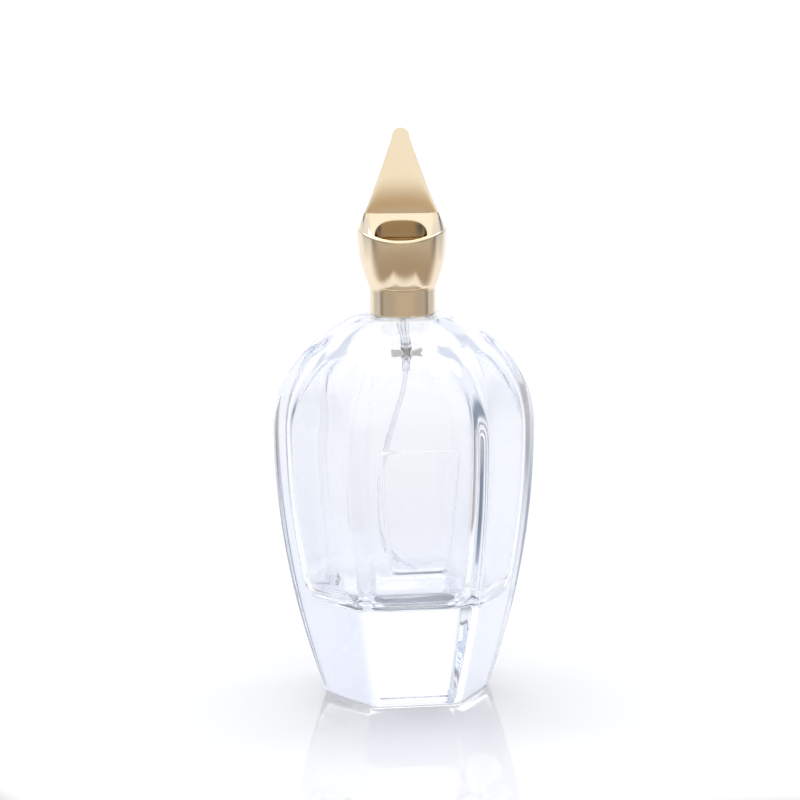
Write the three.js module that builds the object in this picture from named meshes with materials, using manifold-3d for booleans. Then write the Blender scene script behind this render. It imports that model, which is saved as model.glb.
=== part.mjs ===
// Perfume bottle: hexagonal glass body, crimped spray pump and finned gold cap.
// Millimetres, +Z up, origin at the centre of the base, front facet towards -Y.
import * as THREE from 'three';
import { mergeVertices } from 'three/addons/utils/BufferGeometryUtils.js';
import Module from 'manifold-3d';

const wasm = await Module();
wasm.setup();

// ---- glass body (radii are measured to the rounded corners of the hexagon)
const WIDEST_R = 38.4;
const WIDEST_Z = 79;
const FOOT_R = 24.2;
const FOOT_BEVEL = 0.8;
const DOME_HEIGHT = 34.6;
const CORNER_ROUND = 4;
const CORNER_STEPS = 6;
const HEX_SEGMENTS = 6 * (CORNER_STEPS + 2);
const LAND_Z = 111.5;
const LAND_R = 12.8;
const ROUNDING_STARTS_Z = 101;
const LAND_EDGE_Z = 110.8;
const LAND_EDGE = 1.6;

// ---- cavity
const CAVITY_WALL = 7.2;
const CAVITY_FLOOR_Z = 29;
const CAVITY_FLOOR_ROUND = 8;
const CAVITY_CORNER_ROUND = 8;
const CAVITY_DOME_HEIGHT = 27.3;
const BORE_R = 4.6;
const FLARE_TOP_Z = 111;
const FLARE_R = 18;
const CAVITY_ROUND_Z = 106;

// ---- label seat, a flat trapezoid let into the front facet
const SEAT_TOP_Z = 77.7;
const SEAT_BOTTOM_Z = 41.1;
const SEAT_TOP_HALF = 12;
const SEAT_BOTTOM_HALF = 8.6;
const SEAT_CORNER = 2.2;
const SEAT_DEPTH = 0.35;
const SEAT_CUT = 5;

// ---- neck finish
const NECK_R = 6.6;
const NECK_TOP_Z = 118.6;
const BEAD_R = 7.5;
const BEAD_BOTTOM_Z = 115.6;
const BEAD_SLOPE = 0.7;
const SMALL_EDGE = 0.35;

// ---- ferrule, collar and gasket
const SEAL_THICK = 0.7;
const SEAL_INSET = 0.2;
const SEAL_EDGE_GAP = 0.4;
const FLANGE_THICK = 0.8;
const FLANGE_Z = NECK_TOP_Z + SEAL_THICK;
const FLANGE_R = 6.9;
const FERRULE_WALL = 0.35;
const FERRULE_R = 8;
const FERRULE_BOTTOM_Z = 113.6;
const CRIMP_IN = 0.7;
const CRIMP_RISE = 1.3;
const CRIMP_INNER_RISE = 1.4;
const CRIMP_LIP = 0.2;
const FERRULE_PLATE_Z = FLANGE_Z + FLANGE_THICK;
const TURRET_R = 4.6;
const TURRET_TOP_Z = 122.9;
const TURRET_HOLE_R = 2.2;
const COLLAR_WALL = 0.35;
const COLLAR_R = 8.45;
const COLLAR_BOTTOM_Z = 112;
const COLLAR_TOP_Z = 124;
const COLLAR_LIP_R = 6.4;

// ---- pump housing
const HOUSING_R = 3.35;
const HOUSING_BORE_R = 2.6;
const HOUSING_FLOOR_Z = 108.2;
const HOUSING_TOP_R = 4.15;
const HOUSING_TOP_Z = 121.5;
const TAIL_TOP_R = 2.35;
const TAIL_WAIST_Z = 102.3;
const TAIL_WAIST_R = 1.5;
const TAIL_R = 1.35;
const TAIL_BOTTOM_Z = 96.5;
const TAIL_BORE_R = 0.95;
const TAIL_TIP_TAPER = 0.15;
const TAIL_TIP_LENGTH = 0.5;
const TAIL_BORE_STEP = 0.8;
const SHOULDER_LOW = 2.1;
const SHOULDER_MID = 1.4;
const SHOULDER_HIGH = 1;
const SHOULDER_IN = 0.5;
const THROAT_R = 0.55;
const BALL_SEAT_Z = 105.2;
const BALL_CHAMBER_R = 1.15;
const BALL_CHAMBER_TOP_Z = 107.4;
const BALL_LIP_R = 0.75;
const BALL_R = 0.9;
const BALL_LIFT_OFF = 0.04;

// ---- moving pump parts
const STEM_R = 1.75;
const STEM_BORE_R = 0.8;
const STEM_BOTTOM_Z = 118.4;
const STEM_TOP_Z = 128.8;
const RUNNING_GAP = 0.05;
const PISTON_BOTTOM_Z = 118.8;
const PISTON_TOP_Z = 121.2;
const PISTON_R = 2.52;
const POPPET_SEAT_Z = 115.7;
const POPPET_FLANGE_R = 2.2;
const POPPET_BODY_R = 1.2;
const POPPET_BOSS_R = 0.9;
const POPPET_TIP_R = 0.45;
const POPPET_TIP_RISE = 0.5;
const POPPET_TIP_START = 1;
const POPPET_BOSS_LENGTH = 2;
const POPPET_FLANGE_THICK = 0.7;
const STEM_SEAL_THICK = 0.4;
const SPRING_R = 1.7;
const SPRING_WIRE_R = 0.18;
const SPRING_TURNS = 6;
const STEPS_PER_TURN = 13;

// ---- dip tube
const TUBE_R = 0.85;
const TUBE_BORE_R = 0.55;

// ---- spray button
const BUTTON_R = 7.3;
const BUTTON_WALL = 0.4;
const BUTTON_BOTTOM_Z = 124.4;
const BUTTON_TOP_Z = 131.2;
const BUTTON_EDGE = 0.9;
const EDGE_SHARE = 0.3;
const CORE_RECESS = 0.2;
const CUT_CLEAR = 1;
const SPRAY_WINDOW_GAP = 0.4;
const BUTTON_HOLLOW_R = 5.3;
const BUTTON_HOLLOW_TOP_Z = 126.7;
const NOZZLE_Z = 128.4;
const NOZZLE_R = 1.7;
const NOZZLE_LENGTH = 2.4;
const SPRAY_HOLE_R = 0.2;
const CHANNEL_R = 0.45;
const CHANNEL_SEGMENTS = 12;
const NOZZLE_CLEAR = 0.1;
const NOZZLE_WALL_SHARE = 0.8;
const NOZZLE_RIM_IN = 0.3;
const NOZZLE_RIM_DROP = 0.4;
const NOZZLE_FACE_DROP = 0.6;
const SPRAY_DIMPLE = 0.4;
const SPRAY_DIMPLE_DROP = 0.3;

// ---- cap
const CAP_BOTTOM_Z = 111.8;
const SKIRT_R = 9.6;
const SKIRT_TOP_Z = 119.6;
const SKIRT_BORE_R = 8.75;
const SKIRT_EDGE = 0.2;
const CUP_POWER = 1.75;
const CUP_DIP_STARTS_Z = 128;
const RIM_R = 13;
const RIM_SIDE_Z = 136.6;
const RIM_DIP = 2.7;
const LEDGE_TOP_Z = 141.6;
const FIN_TOP_Z = 166;
const FIN_HALF_WIDTH = 10.75;
const FIN_HALF_THICK = 4.2;
const FIN_SIDE_POWER = 0.9;
const FIN_BEND = 12;
const FIN_TAPER = 0.194;
const FIN_EDGE_POWER = 0.06;
const TIP_R = 2.4;
const CAP_TURN = -9;
const LINER_R = 9.05;
const LINER_BOTTOM_Z = 121.2;
const LINER_WALL = 0.75;
const LINER_GRIP_R = 8.6;
const LINER_GRIP_TOP_Z = 124.2;
const LINER_TOP_Z = 132.6;
const LINER_DOME_R = 4;
const LINER_DOME_TOP_Z = 137.5;
const LINER_GAP = 0.1;
const LINER_DOME_WALL = 0.6;
const LINER_GRIP_LEAD = 0.3;
const POCKET_WALL = 0.9;
const POCKET_HALF_WIDTH = 7.5;
const POCKET_BACK_Y = 6;
const POCKET_FLOOR_Z = 133.7;
const POCKET_CUT_RISE = 6;

const CAP_SEGMENTS = 48;
const LINER_SEGMENTS = 32;
const COLLAR_SEGMENTS = 32;
const PUMP_SEGMENTS = 24;

const rad = THREE.MathUtils.degToRad;
const lerp = THREE.MathUtils.lerp;
const smoothstep = THREE.MathUtils.smoothstep;

// ---- shared helpers

function lathe(profile, segments) {
  const points = profile.map(([radius, height]) => new THREE.Vector2(radius, height));
  return new THREE.LatheGeometry(points, segments).rotateX(Math.PI / 2);
}

function ring(profile, segments) {
  return lathe([...profile, profile[0]], segments);
}

// A lathe whose every vertex is placed again by place(row, column) => [x, y, z].
function shapedLathe(rows, segments, place) {
  const points = rows.map((row) => new THREE.Vector2(row.r, row.z));
  const geometry = new THREE.LatheGeometry(points, segments);
  for (let column = 0; column <= segments; column += 1) {
    rows.forEach((row, index) => {
      const [x, y, z] = place(row, column % segments);
      geometry.attributes.position.setXYZ(column * rows.length + index, x, z, -y);
    });
  }
  return geometry.rotateX(Math.PI / 2);
}

function toSolid(geometry) {
  const bare = geometry.clone();
  bare.deleteAttribute('normal');
  bare.deleteAttribute('uv');
  const merged = mergeVertices(bare, 1e-5);
  return new wasm.Manifold(new wasm.Mesh({
    numProp: 3,
    vertProperties: new Float32Array(merged.attributes.position.array),
    triVerts: new Uint32Array(merged.index.array),
  }));
}

function toGeometry(solid) {
  const mesh = solid.getMesh();
  const geometry = new THREE.BufferGeometry();
  geometry.setAttribute('position', new THREE.BufferAttribute(mesh.vertProperties, 3));
  geometry.setIndex(new THREE.BufferAttribute(mesh.triVerts, 1));
  geometry.computeVertexNormals();
  return geometry;
}

function cut(geometry, ...cutters) {
  return toGeometry(cutters.reduce((solid, cutter) => solid.subtract(toSolid(cutter)), toSolid(geometry)));
}

const root = new THREE.Group();
root.name = 'perfume_bottle';

function add(name, geometry, color, roughness, metalness, extra = {}) {
  const material = new THREE.MeshStandardMaterial({ color, roughness, metalness, ...extra });
  const mesh = new THREE.Mesh(geometry, material);
  mesh.name = name;
  root.add(mesh);
}

// ---- glass body

function bodyRadius(z) {
  if (z < WIDEST_Z) {
    return WIDEST_R - (WIDEST_R - FOOT_R) * ((WIDEST_Z - z) / WIDEST_Z) ** 2;
  }
  return WIDEST_R * Math.sqrt(1 - ((z - WIDEST_Z) / DOME_HEIGHT) ** 2);
}

function cavityRadius(z) {
  if (z < WIDEST_Z) {
    return bodyRadius(z) - CAVITY_WALL;
  }
  return (WIDEST_R - CAVITY_WALL) * Math.sqrt(1 - ((z - WIDEST_Z) / CAVITY_DOME_HEIGHT) ** 2);
}

// Point of a hexagon with rounded corners, blended into a circle by row.circle.
function hexPoint(row, column) {
  const stepsPerSide = CORNER_STEPS + 2;
  const sector = rad(60) * Math.floor(column / stepsPerSide);
  const step = column % stepsPerSide;
  const round = Math.min(row.corner, row.r);
  const centre = row.r - round;
  const facing = rad(60) * (step - 1) / CORNER_STEPS;
  const side = centre * Math.sin(rad(30));
  const flat = centre * Math.cos(rad(30));
  const outward = step === 0
    ? [0, flat + round]
    : [side + round * Math.sin(facing), flat + round * Math.cos(facing)];
  const turn = rad(60) * step / stepsPerSide;
  const across = lerp(outward[0], row.r * Math.sin(turn), row.circle);
  const ahead = lerp(outward[1], row.r * Math.cos(turn), row.circle);
  return [
    across * Math.cos(sector) + ahead * Math.sin(sector),
    across * Math.sin(sector) - ahead * Math.cos(sector),
    row.z,
  ];
}

function outerRow(z, r = bodyRadius(z)) {
  return { r, z, corner: CORNER_ROUND, circle: smoothstep(z, ROUNDING_STARTS_Z, LAND_Z) };
}

function cavityRow(z, r = cavityRadius(z)) {
  return { r, z, corner: CAVITY_CORNER_ROUND, circle: smoothstep(z, WIDEST_Z, CAVITY_ROUND_Z) };
}

function roundRow(r, z) {
  return { r, z, corner: r, circle: 1 };
}

// The bore opens into the cavity's dome along a quadratic curve that meets both without a corner.
function flareRows() {
  const turn = Math.acos(FLARE_R / (WIDEST_R - CAVITY_WALL));
  const endZ = WIDEST_Z + CAVITY_DOME_HEIGHT * Math.sin(turn);
  const slope = CAVITY_DOME_HEIGHT / (WIDEST_R - CAVITY_WALL) / Math.tan(turn);
  const bendZ = endZ + slope * (FLARE_R - BORE_R);
  return [0, 0.25, 0.5, 0.75, 1].map((t) => cavityRow(
    (1 - t) ** 2 * FLARE_TOP_Z + 2 * t * (1 - t) * bendZ + t ** 2 * endZ,
    lerp(BORE_R, FLARE_R, t ** 2),
  ));
}

function glassGeometry() {
  const sides = [6, 14, 22, 30, 38, 46, 54, 62, 70, 79, 85.5, 91, 95.5, 99.5, 103, 106, 108.6];
  const outside = [
    { ...outerRow(0), r: 0 },
    outerRow(0, FOOT_R - FOOT_BEVEL),
    outerRow(FOOT_BEVEL),
    ...sides.map((z) => outerRow(z)),
    outerRow(LAND_EDGE_Z, LAND_R + LAND_EDGE),
    roundRow(LAND_R, LAND_Z),
  ];
  const neck = [
    roundRow(NECK_R + SMALL_EDGE, LAND_Z),
    roundRow(NECK_R, LAND_Z + SMALL_EDGE),
    roundRow(NECK_R, BEAD_BOTTOM_Z - BEAD_SLOPE),
    roundRow(BEAD_R, BEAD_BOTTOM_Z),
    roundRow(BEAD_R, NECK_TOP_Z - SMALL_EDGE),
    roundRow(BEAD_R - SMALL_EDGE, NECK_TOP_Z),
    roundRow(BORE_R + SMALL_EDGE, NECK_TOP_Z),
    roundRow(BORE_R, NECK_TOP_Z - SMALL_EDGE),
  ];
  const wallBottom = CAVITY_FLOOR_Z + CAVITY_FLOOR_ROUND;
  const walls = [100, 96.5, 91.5, 85.5, 79, 70, 61, 52, 44, wallBottom];
  const inside = walls.map((z) => cavityRow(z));
  const floorTurns = [18, 36, 54, 72, 90].map(rad);
  const floor = floorTurns.map((turn) => cavityRow(
    wallBottom - CAVITY_FLOOR_ROUND * Math.sin(turn),
    cavityRadius(wallBottom) - CAVITY_FLOOR_ROUND * (1 - Math.cos(turn)),
  ));
  const rows = [...outside, ...neck, ...flareRows(), ...inside, ...floor, cavityRow(CAVITY_FLOOR_Z, 0)];
  const body = shapedLathe(rows, HEX_SEGMENTS, hexPoint);
  return cut(body, labelCutter());
}

function facetDistance(z) {
  return (bodyRadius(z) - CORNER_ROUND) * Math.cos(rad(30)) + CORNER_ROUND;
}

// Trapezoid with rounded corners, pushed outwards from the seat's tilted plane.
function labelCutter() {
  const top = facetDistance(SEAT_TOP_Z) - SEAT_DEPTH;
  const bottom = facetDistance(SEAT_BOTTOM_Z) - SEAT_DEPTH;
  const tilt = Math.atan2(top - bottom, SEAT_TOP_Z - SEAT_BOTTOM_Z);
  const length = Math.hypot(top - bottom, SEAT_TOP_Z - SEAT_BOTTOM_Z);
  const corners = [
    [-SEAT_BOTTOM_HALF, 0], [SEAT_BOTTOM_HALF, 0], [SEAT_TOP_HALF, length], [-SEAT_TOP_HALF, length],
  ].map(([x, y]) => new THREE.Vector2(x, y));
  const outline = new THREE.Shape();
  corners.forEach((corner, index) => {
    const before = corners[(index + 3) % 4].clone().sub(corner).setLength(SEAT_CORNER).add(corner);
    const after = corners[(index + 1) % 4].clone().sub(corner).setLength(SEAT_CORNER).add(corner);
    if (index === 0) outline.moveTo(before.x, before.y);
    else outline.lineTo(before.x, before.y);
    outline.quadraticCurveTo(corner.x, corner.y, after.x, after.y);
  });
  outline.closePath();
  const options = { depth: SEAT_CUT, bevelEnabled: false, curveSegments: 4 };
  const cutter = new THREE.ExtrudeGeometry(outline, options);
  return cutter.rotateX(Math.PI / 2 + tilt).translate(0, -bottom, SEAT_BOTTOM_Z);
}

// ---- fixed pump parts

function ferruleGeometry() {
  const inner = FERRULE_R - FERRULE_WALL;
  const plateTop = FERRULE_PLATE_Z + FERRULE_WALL;
  return ring([
    [FERRULE_R - CRIMP_IN, FERRULE_BOTTOM_Z],
    [FERRULE_R, FERRULE_BOTTOM_Z + CRIMP_RISE],
    [FERRULE_R, plateTop - SMALL_EDGE],
    [FERRULE_R - SMALL_EDGE, plateTop],
    [TURRET_R, plateTop],
    [TURRET_R, TURRET_TOP_Z - SMALL_EDGE],
    [TURRET_R - SMALL_EDGE, TURRET_TOP_Z],
    [TURRET_HOLE_R, TURRET_TOP_Z],
    [TURRET_HOLE_R, TURRET_TOP_Z - FERRULE_WALL],
    [TURRET_R - FERRULE_WALL, TURRET_TOP_Z - FERRULE_WALL],
    [TURRET_R - FERRULE_WALL, FERRULE_PLATE_Z],
    [inner, FERRULE_PLATE_Z],
    [inner, FERRULE_BOTTOM_Z + CRIMP_INNER_RISE],
    [inner - CRIMP_IN, FERRULE_BOTTOM_Z + CRIMP_LIP],
  ], COLLAR_SEGMENTS);
}

function collarGeometry() {
  const inner = COLLAR_R - COLLAR_WALL;
  const lipZ = FERRULE_PLATE_Z + FERRULE_WALL + RUNNING_GAP;
  return ring([
    [inner, COLLAR_BOTTOM_Z],
    [COLLAR_R, COLLAR_BOTTOM_Z],
    [COLLAR_R, COLLAR_TOP_Z - COLLAR_WALL],
    [COLLAR_R - COLLAR_WALL / 3, COLLAR_TOP_Z],
    [inner, COLLAR_TOP_Z],
    [inner, lipZ + COLLAR_WALL],
    [COLLAR_LIP_R, lipZ + COLLAR_WALL],
    [COLLAR_LIP_R, lipZ],
    [inner, lipZ],
  ], COLLAR_SEGMENTS);
}

function housingGeometry() {
  return ring([
    [TAIL_BORE_R, TAIL_BOTTOM_Z],
    [TAIL_R - TAIL_TIP_TAPER, TAIL_BOTTOM_Z],
    [TAIL_R, TAIL_BOTTOM_Z + TAIL_TIP_LENGTH],
    [TAIL_WAIST_R, TAIL_WAIST_Z],
    [TAIL_TOP_R, HOUSING_FLOOR_Z - SHOULDER_LOW],
    [HOUSING_R - SHOULDER_IN, HOUSING_FLOOR_Z - SHOULDER_MID],
    [HOUSING_R, HOUSING_FLOOR_Z - SHOULDER_HIGH],
    [HOUSING_R, FLANGE_Z],
    [FLANGE_R, FLANGE_Z],
    [FLANGE_R, FERRULE_PLATE_Z],
    [HOUSING_TOP_R, FERRULE_PLATE_Z],
    [HOUSING_TOP_R, HOUSING_TOP_Z],
    [HOUSING_BORE_R, HOUSING_TOP_Z],
    [HOUSING_BORE_R, HOUSING_FLOOR_Z],
    [BALL_LIP_R, HOUSING_FLOOR_Z],
    [BALL_LIP_R, BALL_CHAMBER_TOP_Z],
    [BALL_CHAMBER_R, BALL_CHAMBER_TOP_Z],
    [BALL_CHAMBER_R, BALL_SEAT_Z],
    [THROAT_R, BALL_SEAT_Z],
    [THROAT_R, TAIL_WAIST_Z],
    [TAIL_BORE_R, TAIL_WAIST_Z - TAIL_BORE_STEP],
  ], PUMP_SEGMENTS);
}

function washer(inner, outer, bottom, top, segments) {
  return ring([[inner, bottom], [outer, bottom], [outer, top], [inner, top]], segments);
}

function tubeGeometry() {
  const path = new THREE.CatmullRomCurve3([
    new THREE.Vector3(0, 0, 101),
    new THREE.Vector3(0, 0, 96),
    new THREE.Vector3(-0.9, 0.3, 88),
    new THREE.Vector3(-3.4, 1.2, 78),
    new THREE.Vector3(-6.3, 2.6, 69),
    new THREE.Vector3(-8, 4.8, 59),
    new THREE.Vector3(-7.7, 7.4, 49),
    new THREE.Vector3(-5, 9.8, 41),
    new THREE.Vector3(-1, 11.6, 35.6),
    new THREE.Vector3(4.4, 12.8, 31.8),
  ], false, 'centripetal');
  const section = new THREE.Shape().absarc(0, 0, TUBE_R, 0, 2 * Math.PI, false);
  section.holes.push(new THREE.Path().absarc(0, 0, TUBE_BORE_R, 0, 2 * Math.PI, true));
  return new THREE.ExtrudeGeometry(section, { steps: 20, curveSegments: 5, extrudePath: path });
}

class Helix extends THREE.Curve {
  getPoint(t, target = new THREE.Vector3()) {
    const turn = 2 * Math.PI * SPRING_TURNS * t;
    const bottom = HOUSING_FLOOR_Z + SPRING_WIRE_R + RUNNING_GAP;
    const top = POPPET_SEAT_Z - SPRING_WIRE_R - RUNNING_GAP;
    return target.set(SPRING_R * Math.cos(turn), SPRING_R * Math.sin(turn), lerp(bottom, top, t));
  }
}

function springGeometry() {
  const wire = new THREE.Shape().absarc(0, 0, SPRING_WIRE_R, 0, 2 * Math.PI, false);
  const steps = SPRING_TURNS * STEPS_PER_TURN;
  return new THREE.ExtrudeGeometry(wire, { steps, curveSegments: 3, extrudePath: new Helix() });
}

function ballGeometry() {
  const seatDrop = Math.sqrt(BALL_R ** 2 - THROAT_R ** 2);
  return new THREE.SphereGeometry(BALL_R, 16, 12).rotateX(Math.PI / 2)
    .translate(0, 0, BALL_SEAT_Z + seatDrop + BALL_LIFT_OFF);
}

function poppetGeometry() {
  return lathe([
    [0, POPPET_SEAT_Z - POPPET_BOSS_LENGTH],
    [POPPET_BOSS_R, POPPET_SEAT_Z - POPPET_BOSS_LENGTH],
    [POPPET_BOSS_R, POPPET_SEAT_Z],
    [POPPET_FLANGE_R, POPPET_SEAT_Z],
    [POPPET_FLANGE_R, POPPET_SEAT_Z + POPPET_FLANGE_THICK],
    [POPPET_BODY_R, POPPET_SEAT_Z + POPPET_FLANGE_THICK],
    [POPPET_BODY_R, STEM_BOTTOM_Z - POPPET_TIP_START],
    [POPPET_TIP_R, STEM_BOTTOM_Z + POPPET_TIP_RISE],
    [0, STEM_BOTTOM_Z + POPPET_TIP_RISE],
  ], PUMP_SEGMENTS);
}

// ---- spray button

function yCylinder(radius, from, to, z, segments) {
  const length = to - from;
  return new THREE.CylinderGeometry(radius, radius, length, segments).translate(0, (from + to) / 2, z);
}

function buttonCoreGeometry() {
  const outer = BUTTON_R - BUTTON_WALL - RUNNING_GAP;
  const top = BUTTON_TOP_Z - BUTTON_WALL - RUNNING_GAP;
  const edge = BUTTON_EDGE;
  const body = lathe([
    [0, STEM_TOP_Z + RUNNING_GAP],
    [STEM_R + RUNNING_GAP, STEM_TOP_Z + RUNNING_GAP],
    [STEM_R + RUNNING_GAP, BUTTON_HOLLOW_TOP_Z],
    [BUTTON_HOLLOW_R, BUTTON_HOLLOW_TOP_Z],
    [BUTTON_HOLLOW_R, BUTTON_BOTTOM_Z + CORE_RECESS],
    [outer, BUTTON_BOTTOM_Z + CORE_RECESS],
    [outer, top - edge],
    [outer - edge * EDGE_SHARE, top - edge * EDGE_SHARE],
    [outer - edge, top],
    [0, top],
  ], COLLAR_SEGMENTS);
  const front = -outer - CUT_CLEAR;
  const pocketBack = -outer + NOZZLE_LENGTH;
  const pocket = yCylinder(NOZZLE_R + RUNNING_GAP, front, pocketBack, NOZZLE_Z, PUMP_SEGMENTS);
  const channel = yCylinder(CHANNEL_R, front, -STEM_BORE_R / 2, NOZZLE_Z, CHANNEL_SEGMENTS);
  return cut(body, pocket, channel);
}

function buttonShellGeometry() {
  const inner = BUTTON_R - BUTTON_WALL;
  const ceiling = BUTTON_TOP_Z - BUTTON_WALL;
  const edge = BUTTON_EDGE;
  const shell = lathe([
    [0, ceiling],
    [inner - edge, ceiling],
    [inner - edge * EDGE_SHARE, ceiling - edge * EDGE_SHARE],
    [inner, ceiling - edge],
    [inner, BUTTON_BOTTOM_Z],
    [BUTTON_R, BUTTON_BOTTOM_Z],
    [BUTTON_R, BUTTON_TOP_Z - edge],
    [BUTTON_R - edge * EDGE_SHARE, BUTTON_TOP_Z - edge * EDGE_SHARE],
    [BUTTON_R - edge, BUTTON_TOP_Z],
    [0, BUTTON_TOP_Z],
  ], COLLAR_SEGMENTS);
  const windowR = NOZZLE_R + SPRAY_WINDOW_GAP;
  return cut(shell, yCylinder(windowR, -BUTTON_R - CUT_CLEAR, -BUTTON_R / 2, NOZZLE_Z, PUMP_SEGMENTS));
}

function nozzleGeometry() {
  const length = NOZZLE_LENGTH - NOZZLE_CLEAR;
  const wallR = NOZZLE_R * NOZZLE_WALL_SHARE;
  return ring([
    [SPRAY_HOLE_R, -SPRAY_DIMPLE_DROP],
    [SPRAY_HOLE_R + SPRAY_DIMPLE, -NOZZLE_FACE_DROP],
    [NOZZLE_R - NOZZLE_RIM_IN, -NOZZLE_FACE_DROP],
    [NOZZLE_R, -NOZZLE_RIM_DROP],
    [NOZZLE_R, length],
    [wallR, length],
    [wallR, 0],
    [SPRAY_HOLE_R, 0],
  ], PUMP_SEGMENTS).rotateX(-Math.PI / 2).translate(0, -BUTTON_R + BUTTON_WALL + RUNNING_GAP, NOZZLE_Z);
}

// ---- cap

function cupRadius(z) {
  const flare = (z - SKIRT_TOP_Z) / (RIM_SIDE_Z - RIM_DIP - SKIRT_TOP_Z);
  return lerp(SKIRT_R, RIM_R, 1 - (1 - flare) ** CUP_POWER);
}

function finHalfWidth(z) {
  const rise = (z - LEDGE_TOP_Z) / (FIN_TOP_Z - TIP_R - LEDGE_TOP_Z);
  return lerp(FIN_HALF_WIDTH, TIP_R, rise ** FIN_SIDE_POWER);
}

// Upright at the ledge, bending over FIN_BEND into a straight wedge.
function finHalfThick(z) {
  const rise = z - LEDGE_TOP_Z;
  const bend = Math.min(rise, FIN_BEND);
  return FIN_HALF_THICK - FIN_TAPER * (bend ** 2 / (2 * FIN_BEND) + Math.max(rise - FIN_BEND, 0));
}

// Rows: round below the rim, then a ledge that closes on to the fin, then the fin.
function capPoint(row, column) {
  const turn = 2 * Math.PI * column / CAP_SEGMENTS;
  const across = Math.sin(turn);
  const ahead = Math.cos(turn);
  const round = [row.r * across, -row.r * ahead, row.z - row.dip * ahead ** 2];
  if (!row.fin) return round;
  const flat = Math.sign(ahead) * Math.abs(ahead) ** FIN_EDGE_POWER;
  const narrow = Math.abs(ahead) < 1e-9 ? 0 : flat;
  const thin = [row.fin.width * across, -row.fin.thick * narrow, row.fin.z];
  return thin.map((value, axis) => lerp(round[axis], value, row.blend));
}

function capRow(r, z, dip = 0) {
  return { r, z, dip };
}

function finRow(width, thick, z) {
  return { r: width, z, dip: 0, blend: 1, fin: { width, thick, z } };
}

function capShellGeometry() {
  const wallHeights = [121.4, 123.4, 125.8, 128.4, 131, 133.9];
  const cup = wallHeights.map((z) => {
    const dip = RIM_DIP * smoothstep(z, CUP_DIP_STARTS_Z, RIM_SIDE_Z - RIM_DIP);
    return capRow(cupRadius(z), z + dip, dip);
  });
  const ledgeFoot = finRow(FIN_HALF_WIDTH, FIN_HALF_THICK, LEDGE_TOP_Z);
  const rim = capRow(RIM_R - SMALL_EDGE, RIM_SIDE_Z + SMALL_EDGE, RIM_DIP);
  const ledge = [0.25, 0.5, 0.75].map((blend) => ({ ...rim, blend, fin: ledgeFoot.fin }));
  const finHeights = [144.5, 147.5, 150.5, 154, 158, 161, 163.6];
  const fin = finHeights.map((z) => finRow(finHalfWidth(z), finHalfThick(z), z));
  const tip = [25, 50, 72].map((degrees) => {
    const z = FIN_TOP_Z - TIP_R + TIP_R * Math.sin(rad(degrees));
    return finRow(TIP_R * Math.cos(rad(degrees)), finHalfThick(z), z);
  });
  const bore = [
    capRow(0, LINER_DOME_TOP_Z + LINER_GAP),
    capRow(LINER_DOME_R + LINER_GAP, LINER_DOME_TOP_Z + LINER_GAP),
    capRow(LINER_DOME_R + LINER_GAP, LINER_TOP_Z + LINER_GAP),
    capRow(LINER_R + LINER_GAP, LINER_TOP_Z + LINER_GAP),
    capRow(LINER_R + LINER_GAP, LINER_BOTTOM_Z - LINER_GAP),
    capRow(SKIRT_BORE_R, LINER_BOTTOM_Z - LINER_GAP),
  ];
  const skirt = [
    capRow(SKIRT_BORE_R, CAP_BOTTOM_Z),
    capRow(SKIRT_R - SKIRT_EDGE, CAP_BOTTOM_Z),
    capRow(SKIRT_R, CAP_BOTTOM_Z + SKIRT_EDGE),
    capRow(SKIRT_R, SKIRT_TOP_Z),
  ];
  const rows = [...bore, ...skirt, ...cup, rim, ...ledge, ledgeFoot, ...fin, ...tip, finRow(0, 0, FIN_TOP_Z)];
  const shell = shapedLathe(rows, CAP_SEGMENTS, capPoint);
  const pocket = pocketCutter();
  return cut(shell, pocket, pocket.clone().rotateZ(Math.PI)).rotateZ(rad(CAP_TURN));
}

// Upright pocket behind the front rim: round in front, a flatter arc behind.
function pocketCutter() {
  const frontR = RIM_R - POCKET_WALL;
  const cornerY = Math.sqrt(frontR ** 2 - POCKET_HALF_WIDTH ** 2);
  const half = Math.asin(POCKET_HALF_WIDTH / frontR);
  const outline = new THREE.Shape();
  outline.absarc(0, 0, frontR, -Math.PI / 2 - half, -Math.PI / 2 + half, false);
  outline.absellipse(0, -cornerY, POCKET_HALF_WIDTH, cornerY - POCKET_BACK_Y, 0, Math.PI, false);
  const depth = LEDGE_TOP_Z + POCKET_CUT_RISE - POCKET_FLOOR_Z;
  return new THREE.ExtrudeGeometry(outline, { depth, bevelEnabled: false, curveSegments: 12 })
    .translate(0, 0, POCKET_FLOOR_Z);
}

function capLinerGeometry() {
  const inner = LINER_R - LINER_WALL;
  const ceiling = LINER_TOP_Z - LINER_DOME_WALL;
  return lathe([
    [0, LINER_DOME_TOP_Z - LINER_DOME_WALL],
    [LINER_DOME_R - LINER_DOME_WALL, LINER_DOME_TOP_Z - LINER_DOME_WALL],
    [LINER_DOME_R - LINER_DOME_WALL, ceiling],
    [inner, ceiling],
    [inner, LINER_GRIP_TOP_Z],
    [LINER_GRIP_R, LINER_GRIP_TOP_Z - LINER_GRIP_LEAD],
    [LINER_GRIP_R, LINER_BOTTOM_Z],
    [LINER_R, LINER_BOTTOM_Z],
    [LINER_R, LINER_TOP_Z],
    [LINER_DOME_R, LINER_TOP_Z],
    [LINER_DOME_R, LINER_DOME_TOP_Z],
    [0, LINER_DOME_TOP_Z],
  ], LINER_SEGMENTS);
}

// ---- assembly

const GOLD = 0xd9b98c;
const PALE_GOLD = 0xe6cfa4;
const WHITE_PLASTIC = 0xf2f2ef;
const DARK_RUBBER = 0x37373a;
const STEEL = 0xb6b9bf;

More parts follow.
